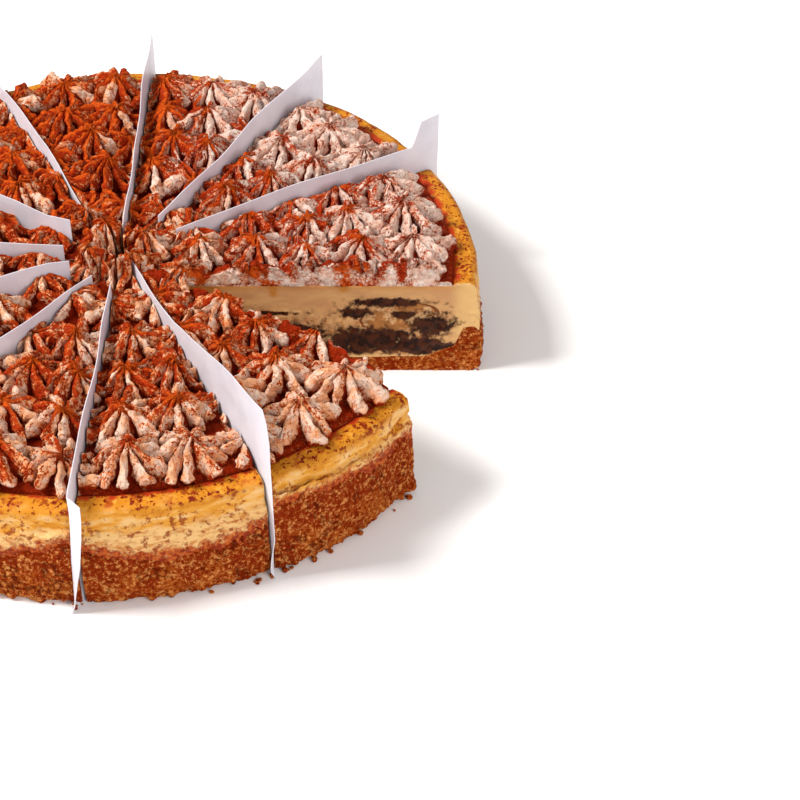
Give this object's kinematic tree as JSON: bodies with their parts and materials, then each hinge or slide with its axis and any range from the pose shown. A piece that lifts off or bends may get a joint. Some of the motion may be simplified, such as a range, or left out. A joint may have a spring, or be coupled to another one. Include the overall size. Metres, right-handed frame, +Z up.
{
  "type": "tiramisu cheesecake",
  "caption": "Round baked cheesecake in a crumb crust, topped with cocoa-dusted cream rosettes, cut in wedges with paper dividers and one wedge taken out.",
  "frame": {"origin": "centre of the round cake at its base, on the surface it stands on", "axes": "+Z up; +X to the right of the picture, so that the gap of the taken slice opens towards +X and a little towards -Y; +Y away from the camera"},
  "size_m": [0.2586, 0.2607, 0.0701],
  "materials": {
    "crust": "crumbly baked biscuit, dull and craggy",
    "filling": "baked cheesecake, satin, golden at the rim and pale where cut",
    "cream": "whipped cream, soft satin, dusted with dry cocoa",
    "paper": "thin white greaseproof paper, smooth and faintly glossy",
    "ladyfinger": "open sponge biscuit soaked with coffee, dull and porous"
  },
  "bodies": {
    "root": {"ladyfinger_back_inner": "ladyfinger", "ladyfinger_back_middle": "ladyfinger", "ladyfinger_back_outer": "ladyfinger", "ladyfinger_front_inner": "ladyfinger", "ladyfinger_front_middle": "ladyfinger", "ladyfinger_front_outer": "ladyfinger", "paper_01": "paper", "paper_02": "paper", "paper_03": "paper", "paper_04": "paper", "paper_05": "paper", "paper_06": "paper", "paper_07": "paper", "paper_08": "paper", "paper_09": "paper", "paper_10": "paper", "slice_01_cream": "cream", "slice_01_crust": "crust", "slice_01_filling": "filling", "slice_02_cream": "cream", "slice_02_crust": "crust", "slice_02_filling": "filling", "slice_03_cream": "cream", "slice_03_crust": "crust", "slice_03_filling": "filling", "slice_04_cream": "cream", "slice_04_crust": "crust", "slice_04_filling": "filling", "slice_05_cream": "cream", "slice_05_crust": "crust", "slice_05_filling": "filling", "slice_06_cream": "cream", "slice_06_crust": "crust", "slice_06_filling": "filling", "slice_07_cream": "cream", "slice_07_crust": "crust", "slice_07_filling": "filling", "slice_08_cream": "cream", "slice_08_crust": "crust", "slice_08_filling": "filling", "slice_09_cream": "cream", "slice_09_crust": "crust", "slice_09_filling": "filling", "slice_10_cream": "cream", "slice_10_crust": "crust", "slice_10_filling": "filling", "slice_11_cream": "cream", "slice_11_crust": "crust", "slice_11_filling": "filling"}
  },
  "joints": []
}
